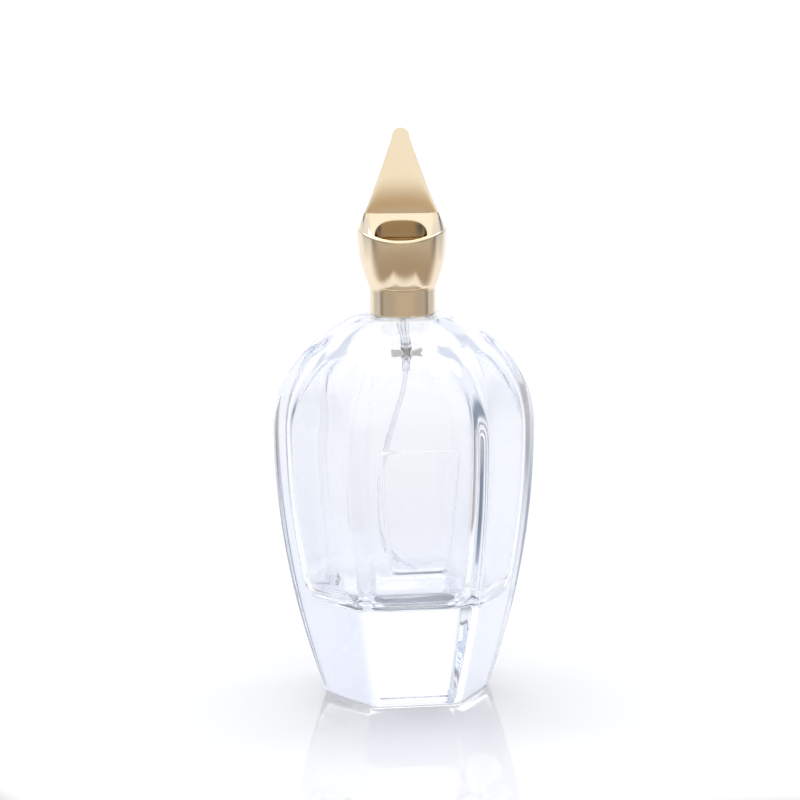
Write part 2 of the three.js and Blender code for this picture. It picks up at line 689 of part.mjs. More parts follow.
const gasket = washer(BORE_R + SEAL_INSET, BEAD_R - SEAL_EDGE_GAP, NECK_TOP_Z, FLANGE_Z, COLLAR_SEGMENTS);
const sealTop = HOUSING_TOP_Z + STEM_SEAL_THICK;
const bushingTop = TURRET_TOP_Z - FERRULE_WALL;
const seal = washer(STEM_R + RUNNING_GAP, HOUSING_TOP_R, HOUSING_TOP_Z, sealTop, PUMP_SEGMENTS);
const bushing = washer(STEM_R + 2 * RUNNING_GAP, HOUSING_TOP_R, sealTop, bushingTop, PUMP_SEGMENTS);
const piston = washer(STEM_R + RUNNING_GAP, PISTON_R, PISTON_BOTTOM_Z, PISTON_TOP_Z, PUMP_SEGMENTS);
const stem = washer(STEM_BORE_R, STEM_R, STEM_BOTTOM_Z, STEM_TOP_Z, PUMP_SEGMENTS);

add('bottle_glass', glassGeometry(), 0xe9eef5, 0.04, 0, { transparent: true, opacity: 0.35 });
add('neck_gasket', gasket, DARK_RUBBER, 0.8, 0);
add('pump_housing', housingGeometry(), 0xe4e8ee, 0.25, 0, { transparent: true, opacity: 0.6 });
add('stem_seal', seal, DARK_RUBBER, 0.8, 0);
add('turret_bushing', bushing, WHITE_PLASTIC, 0.45, 0);
add('crimp_ferrule', ferruleGeometry(), 0xc9ccd1, 0.25, 1);
add('neck_collar', collarGeometry(), GOLD, 0.18, 1);
add('inlet_ball', ballGeometry(), STEEL, 0.15, 1);
add('dip_tube', tubeGeometry(), 0xe6ebf2, 0.2, 0, { transparent: true, opacity: 0.5 });
add('return_spring', springGeometry(), STEEL, 0.25, 1);
add('poppet', poppetGeometry(), WHITE_PLASTIC, 0.45, 0);
add('piston', piston, 0xdfe3e8, 0.5, 0);
add('pump_stem', stem, WHITE_PLASTIC, 0.4, 0);
add('button_core', buttonCoreGeometry(), WHITE_PLASTIC, 0.45, 0);
add('button_shell', buttonShellGeometry(), GOLD, 0.18, 1);
add('nozzle_insert', nozzleGeometry(), WHITE_PLASTIC, 0.35, 0);
add('cap_liner', capLinerGeometry(), WHITE_PLASTIC, 0.5, 0);
add('cap_shell', capShellGeometry(), PALE_GOLD, 0.12, 1);

export default root;
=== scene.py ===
import math

import bmesh
import bpy
import numpy as np
from mathutils import Matrix, Vector
from mathutils.bvhtree import BVHTree


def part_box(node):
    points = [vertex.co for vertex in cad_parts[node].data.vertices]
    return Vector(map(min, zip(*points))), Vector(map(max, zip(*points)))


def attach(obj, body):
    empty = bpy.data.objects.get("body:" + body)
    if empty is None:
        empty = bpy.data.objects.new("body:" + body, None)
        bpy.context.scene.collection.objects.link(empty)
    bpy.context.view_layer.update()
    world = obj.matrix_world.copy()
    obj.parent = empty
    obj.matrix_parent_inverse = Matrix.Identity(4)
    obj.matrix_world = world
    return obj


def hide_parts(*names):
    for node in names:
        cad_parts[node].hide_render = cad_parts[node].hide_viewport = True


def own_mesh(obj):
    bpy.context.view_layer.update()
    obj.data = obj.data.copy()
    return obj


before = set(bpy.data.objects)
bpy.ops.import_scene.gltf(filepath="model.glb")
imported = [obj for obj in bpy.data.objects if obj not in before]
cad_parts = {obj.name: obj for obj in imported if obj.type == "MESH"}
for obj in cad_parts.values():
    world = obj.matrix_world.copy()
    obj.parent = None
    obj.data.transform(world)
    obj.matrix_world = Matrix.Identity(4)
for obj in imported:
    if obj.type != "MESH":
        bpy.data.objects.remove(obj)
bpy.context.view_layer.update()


# ---------------------------------------------------------------- sizes, in metres
MM = 0.001
GLASS_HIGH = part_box("bottle_glass")[1]
CAP_LOW, CAP_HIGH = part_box("cap_shell")
LINER_LOW, LINER_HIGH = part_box("cap_liner")
SPRING_LOW, SPRING_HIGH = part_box("return_spring")
BUTTON_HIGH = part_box("button_shell")[1]
NOZZLE_LOW, NOZZLE_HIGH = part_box("nozzle_insert")

WIDEST_R = GLASS_HIGH.x
WIDEST_Z = 79 * MM
FOOT_R = 24.2 * MM
FOOT_BEVEL = 0.8 * MM
DOME_HEIGHT = 34.6 * MM
CORNER_ROUND = 4 * MM
FLAT_HALF_DEGREES = 7.5
CORNER_DEGREES = 60 - 2 * FLAT_HALF_DEGREES
LAND_Z = 111.5 * MM
LAND_R = 12.8 * MM
LAND_EDGE_Z = 110.6 * MM
LAND_EDGE_CIRCLE = 0.98
ROUNDING_STARTS_Z = 101 * MM
CAVITY_WALL = 7.2 * MM
CAVITY_FLOOR_Z = 29 * MM
CAVITY_FLOOR_ROUND = 8 * MM
CAVITY_CORNER_ROUND = 8 * MM
CAVITY_DOME_HEIGHT = 27.3 * MM
BORE_R = 4.6 * MM
FLARE_TOP_Z = 111 * MM
FLARE_R = 18 * MM
CAVITY_ROUND_Z = 106 * MM
NECK_R = 6.6 * MM
NECK_TOP_Z = GLASS_HIGH.z
BEAD_R = 7.5 * MM
BEAD_BOTTOM_Z = 115.6 * MM
BEAD_SLOPE = 0.7 * MM
BEAD_CREASE = 0.08 * MM
NECK_FILLET = 0.6 * MM
SMALL_EDGE = 0.35 * MM

SEAT_TOP_Z = 77.7 * MM
SEAT_BOTTOM_Z = 41.1 * MM
SEAT_TOP_HALF = 12 * MM
SEAT_BOTTOM_HALF = 8.6 * MM
SEAT_DEPTH = 0.35 * MM
SEAT_BEVEL = 0.9 * MM
SEAT_CORNER = 0.7 * MM
SEAT_MARGIN_LOW = 1 * MM
SEAT_MARGIN_HIGH = 0.9 * MM
SEAT_ROW_STEP = 0.3 * MM
WALL_ROW_STEP = 1.6 * MM
FACING_STEP = math.radians(1.6)

SKIRT_R = 9.6 * MM
SKIRT_TOP_Z = 119.6 * MM
SKIRT_BORE_R = 8.75 * MM
RIM_R = CAP_HIGH.x
RIM_SIDE_Z = 136.6 * MM
RIM_DIP = 2.7 * MM
CUP_POWER = 1.75
CUP_DIP_STARTS_Z = 128 * MM
CUP_BLEND = 1.1 * MM
SKIRT_EDGE = 0.25 * MM
BORE_EDGE = 0.15 * MM
LEDGE_TOP_Z = 141.6 * MM
FIN_TOP_Z = CAP_HIGH.z
FIN_HALF_WIDTH = 10.75 * MM
FIN_HALF_THICK = 4.2 * MM
FIN_BEND = 12 * MM
FIN_TAPER = 0.194
FIN_EDGE_POWER = 0.06
FIN_SIDE_POWER = 0.9
FIN_CREASE = 0.2 * MM
FIN_ROW_STEP = 0.8 * MM
CAP_TURN = -9
TIP_R = 2.4 * MM
LINER_GAP = 0.1 * MM
LINER_DOME_R = 4 * MM
LINER_SHOULDER_Z = 132.6 * MM
POCKET_WALL = 0.9 * MM
POCKET_HALF_WIDTH = 7.5 * MM
POCKET_BACK_Y = 6 * MM
POCKET_FLOOR_Z = 133.7 * MM
POCKET_LIP = 0.35 * MM
POCKET_FLOOR_EDGE = 0.3 * MM
POCKET_CUT_RISE = 4 * MM
POCKET_SQUARE = 0.72

SPRING_TURNS = 6
WIRE_R = 0.18 * MM
TUBE_R = 0.85 * MM
TUBE_BORE_R = 0.55 * MM
NOZZLE_GAP = 0.4 * MM


def lerp(a, b, t):
    return a + (b - a) * t


def smoothstep(x, low, high):
    t = np.clip((x - low) / (high - low), 0, 1)
    return t * t * (3 - 2 * t)


def spaced(start, stop, step):
    """Evenly spaced values from start up to but not including stop."""
    count = max(1, math.ceil(abs(stop - start) / step))
    return [lerp(start, stop, i / count) for i in range(count)]


# ---------------------------------------------------------------- mesh helpers
def new_object(name, mesh):
    obj = bpy.data.objects.new(name, mesh)
    bpy.context.scene.collection.objects.link(obj)
    return obj


def grid_mesh(name, rows):
    """A closed-round skin through rows of points; a first or last row on the axis becomes a pole."""
    columns = len(rows[0])
    points, faces, starts = [], [], []
    for row in rows:
        starts.append(len(points))
        on_axis = max(abs(p[0]) + abs(p[1]) for p in row) < 1e-7
        points.extend([row[0]] if on_axis else row)
    starts.append(len(points))
    for i in range(len(rows) - 1):
        a, b = starts[i], starts[i + 1]
        a_pole, b_pole = b - a == 1, starts[i + 2] - b == 1
        for c in range(columns):
            d = (c + 1) % columns
            if a_pole:
                faces.append((a, b + d, b + c))
            elif b_pole:
                faces.append((a + c, a + d, b))
            else:
                faces.append((a + c, a + d, b + d, b + c))
    mesh = bpy.data.meshes.new(name)
    mesh.from_pydata([tuple(p) for p in points], [], faces)
    mesh.validate()
    return mesh


def closed_object(name, points, faces):
    """An object from points and faces, with every face turned outward."""
    mesh = bpy.data.meshes.new(name)
    mesh.from_pydata(points, [], faces)
    work = bmesh.new()
    work.from_mesh(mesh)
    bmesh.ops.recalc_face_normals(work, faces=work.faces)
    work.to_mesh(mesh)
    work.free()
    return new_object(name, mesh)


def smooth(obj, angle=35):
    """Smooth shading, left sharp where faces meet at more than the angle."""
    obj.data.shade_smooth()
    obj.data.set_sharp_from_angle(angle=math.radians(angle))
    return obj


def subtract(obj, cutters):
    """Takes the cutters away from the object's mesh."""
    for cutter in cutters:
        step = obj.modifiers.new(cutter.name, "BOOLEAN")
        step.operation = "DIFFERENCE"
        step.solver = "EXACT"
        step.object = cutter
    evaluated = obj.evaluated_get(bpy.context.evaluated_depsgraph_get())
    mesh = bpy.data.meshes.new_from_object(evaluated)
    obj.modifiers.clear()
    obj.data = mesh
    for cutter in cutters:
        bpy.data.objects.remove(cutter)


def soften(obj, width):
    """Small rounded edges."""
    bevel = obj.modifiers.new("edge", "BEVEL")
    bevel.width = width
    bevel.segments = 2
    bevel.limit_method = "ANGLE"
    bevel.angle_limit = math.radians(30)
    bevel.use_clamp_overlap = True
    return obj


def turned_copy(node, steps=128):
    """A finely turned copy of a turned CAD node, spun from the node's own half section."""
    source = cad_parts[node].data
    flat = 1e-6
    in_section = [v.index for v in source.vertices if abs(v.co.y) < flat and v.co.x > -flat]
    place = {}
    keys = {}
    for index in in_section:
        co = source.vertices[index].co
        key = (round(co.x, 7), round(co.z, 7))
        place[index] = keys.setdefault(key, len(keys))
    edges = set()
    for edge in source.edges:
        a, b = (place.get(v) for v in edge.vertices)
        if a is not None and b is not None and a != b:
            edges.add((min(a, b), max(a, b)))
    mesh = bmesh.new()
    verts = [mesh.verts.new((x, 0, z)) for x, z in keys]
    wires = [mesh.edges.new((verts[a], verts[b])) for a, b in edges]
    bmesh.ops.spin(mesh, geom=verts + wires, cent=(0, 0, 0), axis=(0, 0, 1),
                   angle=2 * math.pi, steps=steps, use_merge=True)
    bmesh.ops.remove_doubles(mesh, verts=mesh.verts, dist=flat)
    bmesh.ops.recalc_face_normals(mesh, faces=mesh.faces)
    data = bpy.data.meshes.new(node + "_fine")
    mesh.to_mesh(data)
    mesh.free()
    return new_object(node + "_fine", data)


def settle(obj, body, slot, *nodes):
    """The piece moves with the body and stands for the CAD nodes, which it hides. The slot argument is not
    used.
    """
    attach(obj, body)
    if nodes:
        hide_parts(*nodes)
    return obj


# ---------------------------------------------------------------- glass body
def body_radius(z):
    if z < WIDEST_Z:
        return WIDEST_R - (WIDEST_R - FOOT_R) * ((WIDEST_Z - z) / WIDEST_Z) ** 2
    return WIDEST_R * math.sqrt(max(0, 1 - ((z - WIDEST_Z) / DOME_HEIGHT) ** 2))


def cavity_radius(z):
    if z < WIDEST_Z:
        return body_radius(z) - CAVITY_WALL
    rise = (z - WIDEST_Z) / CAVITY_DOME_HEIGHT
    return (WIDEST_R - CAVITY_WALL) * math.sqrt(max(0, 1 - rise ** 2))


def hex_columns(front_steps, flat_steps, corner_steps):
    """(facet, share across the flat or None, share round the corner or None) for each column."""
    columns = []
    for facet in range(6):
        steps = front_steps if facet == 0 else flat_steps
        columns += [(facet, lerp(-1, 1, i / steps), None) for i in range(steps)]
        columns += [(facet, None, i / corner_steps) for i in range(corner_steps)]
    return columns


def hex_point(column, r, z, corner, circle, seat=False):
    """A point of a hexagon with rounded corners, blended into a circle by circle."""
    facet, flat, turn = column
    round_r = min(corner, r)
    centre = r - round_r
    side, front = centre * math.sin(math.radians(30)), centre * math.cos(math.radians(30))
    if turn is None:
        across, ahead, angle = flat * side, front + round_r, math.radians(FLAT_HALF_DEGREES * flat)
    else:
        facing = math.radians(60 * turn)
        across, ahead = side + round_r * math.sin(facing), front + round_r * math.cos(facing)
        angle = math.radians(FLAT_HALF_DEGREES + CORNER_DEGREES * turn)
    across = lerp(across, r * math.sin(angle), circle)
    ahead = lerp(ahead, r * math.cos(angle), circle)
    if seat and facet == 0 and turn is None:
        ahead = label_seat(across, z, ahead)
    sector = math.radians(60 * facet)
    return (
        across * math.cos(sector) + ahead * math.sin(sector),
        across * math.sin(sector) - ahead * math.cos(sector),
        z,
    )


def facet_distance(z):
    return (body_radius(z) - CORNER_ROUND) * math.cos(math.radians(30)) + CORNER_ROUND


def label_seat(across, z, ahead):
    """Pushes the front facet back to the seat's flat plane inside a soft-cornered trapezoid."""
    top, bottom = facet_distance(SEAT_TOP_Z) - SEAT_DEPTH, facet_distance(SEAT_BOTTOM_Z) - SEAT_DEPTH
    rise = (z - SEAT_BOTTOM_Z) / (SEAT_TOP_Z - SEAT_BOTTOM_Z)
    slant = (SEAT_TOP_HALF - SEAT_BOTTOM_HALF) / (SEAT_TOP_Z - SEAT_BOTTOM_Z)
    side = (lerp(SEAT_BOTTOM_HALF, SEAT_TOP_HALF, rise) - abs(across)) / math.hypot(1, slant)
    inside = -SEAT_CORNER * math.log(sum(
        math.exp(-min(gap / SEAT_CORNER, 40)) for gap in (side, SEAT_TOP_Z - z, z - SEAT_BOTTOM_Z)
        if gap / SEAT_CORNER > -40
    )) if min(side, SEAT_TOP_Z - z, z - SEAT_BOTTOM_Z) > -SEAT_BEVEL else -1
    return lerp(ahead, lerp(bottom, top, rise), float(smoothstep(inside, 0, SEAT_BEVEL)))


def glass_rows(columns):
    rows, outside_count = [], 0

    def outer(z, r=None, circle=None):
        blend = float(smoothstep(z, ROUNDING_STARTS_Z, LAND_Z)) if circle is None else circle
        radius = body_radius(z) if r is None else r
        rows.append([hex_point(c, radius, z, CORNER_ROUND, blend, seat=True) for c in columns])

    def turned(r, z):
        rows.append([hex_point(c, r, z, r, 1) for c in columns])

    def inner(z, r=None):
        blend = float(smoothstep(z, WIDEST_Z, CAVITY_ROUND_Z))
        radius = cavity_radius(z) if r is None else r
        rows.append([hex_point(c, radius, z, CAVITY_CORNER_ROUND, blend) for c in columns])

    outer(0, 0)
    outer(0, FOOT_R * 0.5)
    for degrees in range(0, 91, 15):
        turn = math.radians(degrees)
        outer(FOOT_BEVEL * (1 - math.cos(turn)), FOOT_R - FOOT_BEVEL * (1 - math.sin(turn)))
    seat_low, seat_high = SEAT_BOTTOM_Z - SEAT_MARGIN_LOW, SEAT_TOP_Z + SEAT_MARGIN_HIGH
    below_seat = spaced(FOOT_BEVEL * 1.6, seat_low, WALL_ROW_STEP)
    for z in below_seat + spaced(seat_low, seat_high, SEAT_ROW_STEP):
        outer(z)
    top_turn = math.asin((LAND_EDGE_Z - WIDEST_Z) / DOME_HEIGHT)
    for turn in spaced(math.asin((seat_high - WIDEST_Z) / DOME_HEIGHT), top_turn, FACING_STEP):
        outer(WIDEST_Z + DOME_HEIGHT * math.sin(turn))
    edge_r = body_radius(LAND_EDGE_Z)
    for share in (0, 0.3, 0.6, 0.85, 1):
        curve = math.radians(90 * share)
        outer(lerp(LAND_EDGE_Z, LAND_Z, math.sin(curve)), lerp(edge_r, LAND_R, share),
              lerp(LAND_EDGE_CIRCLE, 1, share))
    for degrees in range(0, 91, 18):
        turn = math.radians(degrees)
        turned(NECK_R + NECK_FILLET * (1 - math.sin(turn)), LAND_Z + NECK_FILLET * (1 - math.cos(turn)))
    for r, z in ((NECK_R, BEAD_BOTTOM_Z - BEAD_SLOPE), (BEAD_R, BEAD_BOTTOM_Z)):
        turned(r, z - BEAD_CREASE)
        turned(r, z + BEAD_CREASE)
    for degrees in range(0, 91, 18):
        turn = math.radians(degrees)
        turned(BEAD_R - SMALL_EDGE * (1 - math.cos(turn)), NECK_TOP_Z - SMALL_EDGE * (1 - math.sin(turn)))
    for degrees in range(90, -1, -18):
        turn = math.radians(degrees)
        turned(BORE_R + SMALL_EDGE * (1 - math.cos(turn)), NECK_TOP_Z - SMALL_EDGE * (1 - math.sin(turn)))
    outside_count = len(rows)
    flare_turn = math.acos(FLARE_R / (WIDEST_R - CAVITY_WALL))
    flare_z = WIDEST_Z + CAVITY_DOME_HEIGHT * math.sin(flare_turn)
    slope = CAVITY_DOME_HEIGHT / (WIDEST_R - CAVITY_WALL) / math.tan(flare_turn)
    bend_z = flare_z + slope * (FLARE_R - BORE_R)
    for t in spaced(0, 1, 1 / 14):
        r = BORE_R + (FLARE_R - BORE_R) * t * t
        inner((1 - t) ** 2 * FLARE_TOP_Z + 2 * t * (1 - t) * bend_z + t * t * flare_z, r)
    for turn in spaced(flare_turn, 0, math.radians(1.8)):
        inner(WIDEST_Z + CAVITY_DOME_HEIGHT * math.sin(turn))
    wall_bottom = CAVITY_FLOOR_Z + CAVITY_FLOOR_ROUND
    for z in spaced(WIDEST_Z, wall_bottom, 1.4 * MM):
        inner(z)
    for degrees in range(0, 91, 5):
        turn = math.radians(degrees)
        inner(wall_bottom - CAVITY_FLOOR_ROUND * math.sin(turn),
              cavity_radius(wall_bottom) - CAVITY_FLOOR_ROUND * (1 - math.cos(turn)))
    inner(CAVITY_FLOOR_Z, cavity_radius(wall_bottom) * 0.4)
    inner(CAVITY_FLOOR_Z, 0)
    return rows, outside_count


def cavity_painted_shade(z):
    """Painted shade on the cavity wall: faint near the neck, rising to 1 at the cavity's floor."""
    return float(lerp(0.35, 1.0, 1 - smoothstep(z, CAVITY_FLOOR_Z, WIDEST_Z + 20 * MM)))


def make_glass():
    columns = hex_columns(front_steps=104, flat_steps=8, corner_steps=14)
    rows, outside_count = glass_rows(columns)
    obj = new_object("glass_body", grid_mesh("glass_body", rows))
    smooth(obj, 60)
    outside = 1 + (outside_count - 1) * len(columns)
    # The inner mark carries the cavity's painted shade; it also sets the strength of the cavity's ripple
    # bumps.
    mark(obj, "inner", lambda vertex: cavity_painted_shade(vertex.co.z) if vertex.index >= outside else 0.0)
    return settle(obj, "bottle", "clear_glass", "bottle_glass")


# ---------------------------------------------------------------- cap
def cup_radius(z):
    flare = (z - SKIRT_TOP_Z) / (RIM_SIDE_Z - RIM_DIP - SKIRT_TOP_Z)
    return lerp(SKIRT_R, RIM_R, 1 - (1 - min(flare, 1)) ** CUP_POWER)


def fin_half_width(z):
    rise = (z - LEDGE_TOP_Z) / (FIN_TOP_Z - TIP_R - LEDGE_TOP_Z)
    return lerp(FIN_HALF_WIDTH, TIP_R, rise ** FIN_SIDE_POWER)


def fin_half_thick(z):
    rise = z - LEDGE_TOP_Z
    bend = min(rise, FIN_BEND)
    return FIN_HALF_THICK - FIN_TAPER * (bend ** 2 / (2 * FIN_BEND) + max(rise - FIN_BEND, 0))


def cap_turns():
    """Column angles, closer together at the fin's two edges."""
    quarter = [0, 4, 8, 12, 16, 20, 24, 28, 32, 36, 40, 44, 48, 52, 56, 60, 64, 68, 72, 76, 79, 82,
               84.5, 86.5, 88, 89, 89.6, 90]
    half = quarter + [180 - a for a in reversed(quarter[:-1])]
    return [math.radians(a) for a in half + [a + 180 for a in half[1:-1]]]


def round_row(turns, r, z, dip=0.0):
    return [(r * math.sin(t), -r * math.cos(t), z - dip * math.cos(t) ** 2) for t in turns]


def fin_row(turns, width, thick, z):
    row = []
    for t in turns:
        ahead = math.cos(t)
        flat = 0 if abs(ahead) < 1e-9 else math.copysign(abs(ahead) ** FIN_EDGE_POWER, ahead)
        row.append((width * math.sin(t), -thick * flat, z))
    return row


def blend_rows(first, second, share):
    return [tuple(lerp(a, b, share) for a, b in zip(p, q)) for p, q in zip(first, second)]


def cap_rows(turns):
    bore_r, ceiling_r = SKIRT_BORE_R, LINER_HIGH.x + LINER_GAP
    rows = [
        round_row(turns, 0, LINER_HIGH.z + LINER_GAP),
        round_row(turns, LINER_DOME_R + LINER_GAP, LINER_HIGH.z + LINER_GAP),
        round_row(turns, LINER_DOME_R + LINER_GAP, LINER_SHOULDER_Z + LINER_GAP),
        round_row(turns, ceiling_r, LINER_SHOULDER_Z + LINER_GAP),
        round_row(turns, ceiling_r, LINER_LOW.z - LINER_GAP),
        round_row(turns, bore_r, LINER_LOW.z - LINER_GAP),
        round_row(turns, bore_r, CAP_LOW.z + BORE_EDGE),
        round_row(turns, bore_r + BORE_EDGE, CAP_LOW.z),
    ]
    for degrees in range(0, 91, 15):
        turn = math.radians(degrees)
        rows.append(round_row(turns, SKIRT_R - SKIRT_EDGE * (1 - math.sin(turn)),
                              CAP_LOW.z + SKIRT_EDGE * (1 - math.cos(turn))))
    for z in spaced(CAP_LOW.z + 1 * MM, SKIRT_TOP_Z, 1.2 * MM):
        rows.append(round_row(turns, SKIRT_R, z))
    rim_low = RIM_SIDE_Z - RIM_DIP
    for z in spaced(SKIRT_TOP_Z - CUP_BLEND, rim_low, 0.45 * MM):
        share = float(smoothstep(z, SKIRT_TOP_Z - CUP_BLEND, SKIRT_TOP_Z + CUP_BLEND))
        r = lerp(SKIRT_R, cup_radius(max(z, SKIRT_TOP_Z)), share)
        dip = RIM_DIP * float(smoothstep(z, CUP_DIP_STARTS_Z, rim_low))
        rows.append(round_row(turns, r, z + dip, dip))
    for degrees in range(0, 91, 15):
        turn = math.radians(degrees)
        rows.append(round_row(turns, RIM_R - SMALL_EDGE * (1 - math.cos(turn)),
                              RIM_SIDE_Z + SMALL_EDGE * math.sin(turn), RIM_DIP))
    foot = fin_row(turns, FIN_HALF_WIDTH, FIN_HALF_THICK, LEDGE_TOP_Z)
    rim = rows[-1]
    rows += [blend_rows(rim, foot, share) for share in [i / 14 for i in range(1, 14)] + [0.975]]
    rows.append(foot)
    crease_z = LEDGE_TOP_Z + FIN_CREASE
    rows.append(fin_row(turns, fin_half_width(crease_z), FIN_HALF_THICK, crease_z))
    for z in spaced(LEDGE_TOP_Z + FIN_ROW_STEP, FIN_TOP_Z - TIP_R, FIN_ROW_STEP):
        rows.append(fin_row(turns, fin_half_width(z), fin_half_thick(z), z))
    for degrees in range(0, 90, 6):
        turn = math.radians(degrees)
        z = FIN_TOP_Z - TIP_R + TIP_R * math.sin(turn)
        rows.append(fin_row(turns, TIP_R * math.cos(turn), fin_half_thick(z), z))
    rows.append(round_row(turns, 0, FIN_TOP_Z))
    return rows


def pocket_outline():
    """(x, y) round the pocket in front of the fin: concentric with the rim in front, a flatter arc behind."""
    front_r = RIM_R - POCKET_WALL
    corner_y = math.sqrt(front_r ** 2 - POCKET_HALF_WIDTH ** 2)
    half = math.asin(POCKET_HALF_WIDTH / front_r)
    front = [(front_r * math.sin(a), -front_r * math.cos(a)) for a in spaced(-half, half, half / 20)]
    depth = corner_y - POCKET_BACK_Y
    back = []
    for a in spaced(0, math.pi, math.pi / 40):
        side = math.copysign(abs(math.cos(a)) ** POCKET_SQUARE, math.cos(a))
        back.append((POCKET_HALF_WIDTH * side, -corner_y + depth * abs(math.sin(a)) ** POCKET_SQUARE))
    return front + back


def pocket_cutter(name, ground, turned):
    """A cutter for one pocket whose wall flares into a small rounded lip where it meets the ledge."""
    flip = -1 if turned else 1
    outline = [(flip * x, flip * y) for x, y in pocket_outline()]
    count = len(outline)

    def height(x, y):
        hit = ground.ray_cast(Vector((x, y, FIN_TOP_Z)), Vector((0, 0, -1)))[0]
        return hit.z if hit else RIM_SIDE_Z

    def outwards(i):
        (ax, ay), (bx, by) = outline[i - 1], outline[(i + 1) % count]
        return Vector((by - ay, ax - bx, 0)).normalized()

    normals = [outwards(i) for i in range(count)]

    def ring(offset, level):
        row = []
        for (x, y), n in zip(outline, normals):
            px, py = x + n.x * offset, y + n.y * offset
            row.append((px, py, level(px, py)))
        return row

    middle_y = -flip * (RIM_R + POCKET_BACK_Y) / 2
    rings = [ring(-POCKET_FLOOR_EDGE, lambda x, y: POCKET_FLOOR_Z),
             ring(0, lambda x, y: POCKET_FLOOR_Z + POCKET_FLOOR_EDGE)]
    lowest_lip = POCKET_FLOOR_Z + 2 * POCKET_FLOOR_EDGE
    for degrees in (0, 20, 40, 60, 80, 90):
        turn = math.radians(degrees)
        drop = POCKET_LIP * (1 - math.sin(turn))
        rings.append(ring(POCKET_LIP * (1 - math.cos(turn)),
                          lambda x, y, drop=drop: max(height(x, y) - drop, lowest_lip)))
    rings.append(ring(POCKET_LIP * 1.4, lambda x, y: height(x, y) + 0.3 * MM))
    rings.append(ring(POCKET_LIP * 1.4, lambda x, y: LEDGE_TOP_Z + POCKET_CUT_RISE))
    points = [p for row in rings for p in row]
    points += [(0, middle_y, POCKET_FLOOR_Z), (0, middle_y, LEDGE_TOP_Z + POCKET_CUT_RISE)]
    faces = []
    for i in range(count):
        j = (i + 1) % count
        for level in range(len(rings) - 1):
            a, b = level * count, (level + 1) * count
            faces.append((a + i, a + j, b + j, b + i))
        faces.append((len(points) - 2, j, i))
        last = (len(rings) - 1) * count
        faces.append((len(points) - 1, last + i, last + j))
    return closed_object(name, points, faces)


def pocket_shade_mask(co, ground):
    """1 for a point below the ledge inside either pocket, 0 elsewhere: where the gold gets painted shade."""
    inside = (math.hypot(co.x, co.y) < RIM_R - POCKET_WALL + POCKET_LIP
              and abs(co.y) > POCKET_BACK_Y - POCKET_LIP)
    if not inside or co.z < POCKET_FLOOR_Z - POCKET_LIP or abs(co.x) > POCKET_HALF_WIDTH + POCKET_LIP:
        return 0.0
    hit = ground.ray_cast(Vector((co.x, co.y, FIN_TOP_Z)), Vector((0, 0, -1)))[0]
    return float(smoothstep(hit.z - co.z, POCKET_LIP * 0.2, POCKET_LIP)) if hit else 0.0


def mark(obj, name, value):
    """A named number on every vertex, for the materials to read."""
    layer = obj.data.attributes.new(name, "FLOAT", "POINT")
    layer.data.foreach_set("value", [value(vertex) for vertex in obj.data.vertices])


def make_cap():
    obj = new_object("cap_crown", grid_mesh("cap_crown", cap_rows(cap_turns())))
    ground = BVHTree.FromPolygons([v.co for v in obj.data.vertices], [p.vertices for p in obj.data.polygons])
    subtract(obj, [pocket_cutter("front_pocket", ground, False), pocket_cutter("back_pocket", ground, True)])
    # Mask for the painted shade inside the pockets.
    mark(obj, "pocket_shade", lambda vertex: pocket_shade_mask(vertex.co, ground))
    obj.data.transform(Matrix.Rotation(math.radians(CAP_TURN), 4, "Z"))
    smooth(obj, 32)
    return settle(obj, "cap", "gold_plated_metal", "cap_shell")


# ---------------------------------------------------------------- pump pieces
def tube_along(name, points, outer_r, inner_r, sides):
    """A hollow tube through points, with flat ring-shaped ends."""
    rings_out, rings_in = [], []
    for i, p in enumerate(points):
        along = (points[min(i + 1, len(points) - 1)] - points[max(i - 1, 0)]).normalized()
        side = along.cross(Vector((0, 1, 0))).normalized()
        up = side.cross(along).normalized()
        for rings, r in ((rings_out, outer_r), (rings_in, inner_r)):
            rings.append([tuple(p + (side * math.cos(a) + up * math.sin(a)) * r)
                          for a in (2 * math.pi * k / sides for k in range(sides))])
    loops = rings_out + rings_in[::-1]
    verts = [p for ring in loops for p in ring]
    faces = []
    for level in range(len(loops)):
        a, b = level * sides, (level + 1) % len(loops) * sides
        faces += [(a + k, a + (k + 1) % sides, b + (k + 1) % sides, b + k) for k in range(sides)]
    return smooth(closed_object(name, verts, faces), 50)


def spline(knots, share):
    """Catmull-Rom curve through the knots."""
    last = len(knots) - 1
    place = min(share * last, last - 1e-9)
    i, t = int(place), place - int(place)
    p0, p1, p2, p3 = (knots[max(0, min(last, i + k))] for k in (-1, 0, 1, 2))
    return 0.5 * (2 * p1 + (p2 - p0) * t + (2 * p0 - 5 * p1 + 4 * p2 - p3) * t ** 2
                  + (3 * p1 - p0 - 3 * p2 + p3) * t ** 3)


def make_dip_tube():
    knots = [Vector(k) * MM for k in (
        (0, 0, 101), (0, 0, 96), (-0.9, 0.3, 88), (-3.4, 1.2, 78), (-6.3, 2.6, 69),
        (-8, 4.8, 59), (-7.7, 7.4, 49), (-5, 9.8, 41), (-1, 11.6, 35.6), (4.4, 12.8, 31.8),
    )]
    points = [spline(knots, i / 90) for i in range(91)]
    obj = tube_along("dip_tube_fine", points, TUBE_R, TUBE_BORE_R, 24)
    return settle(obj, "bottle", "tube_plastic", "dip_tube")


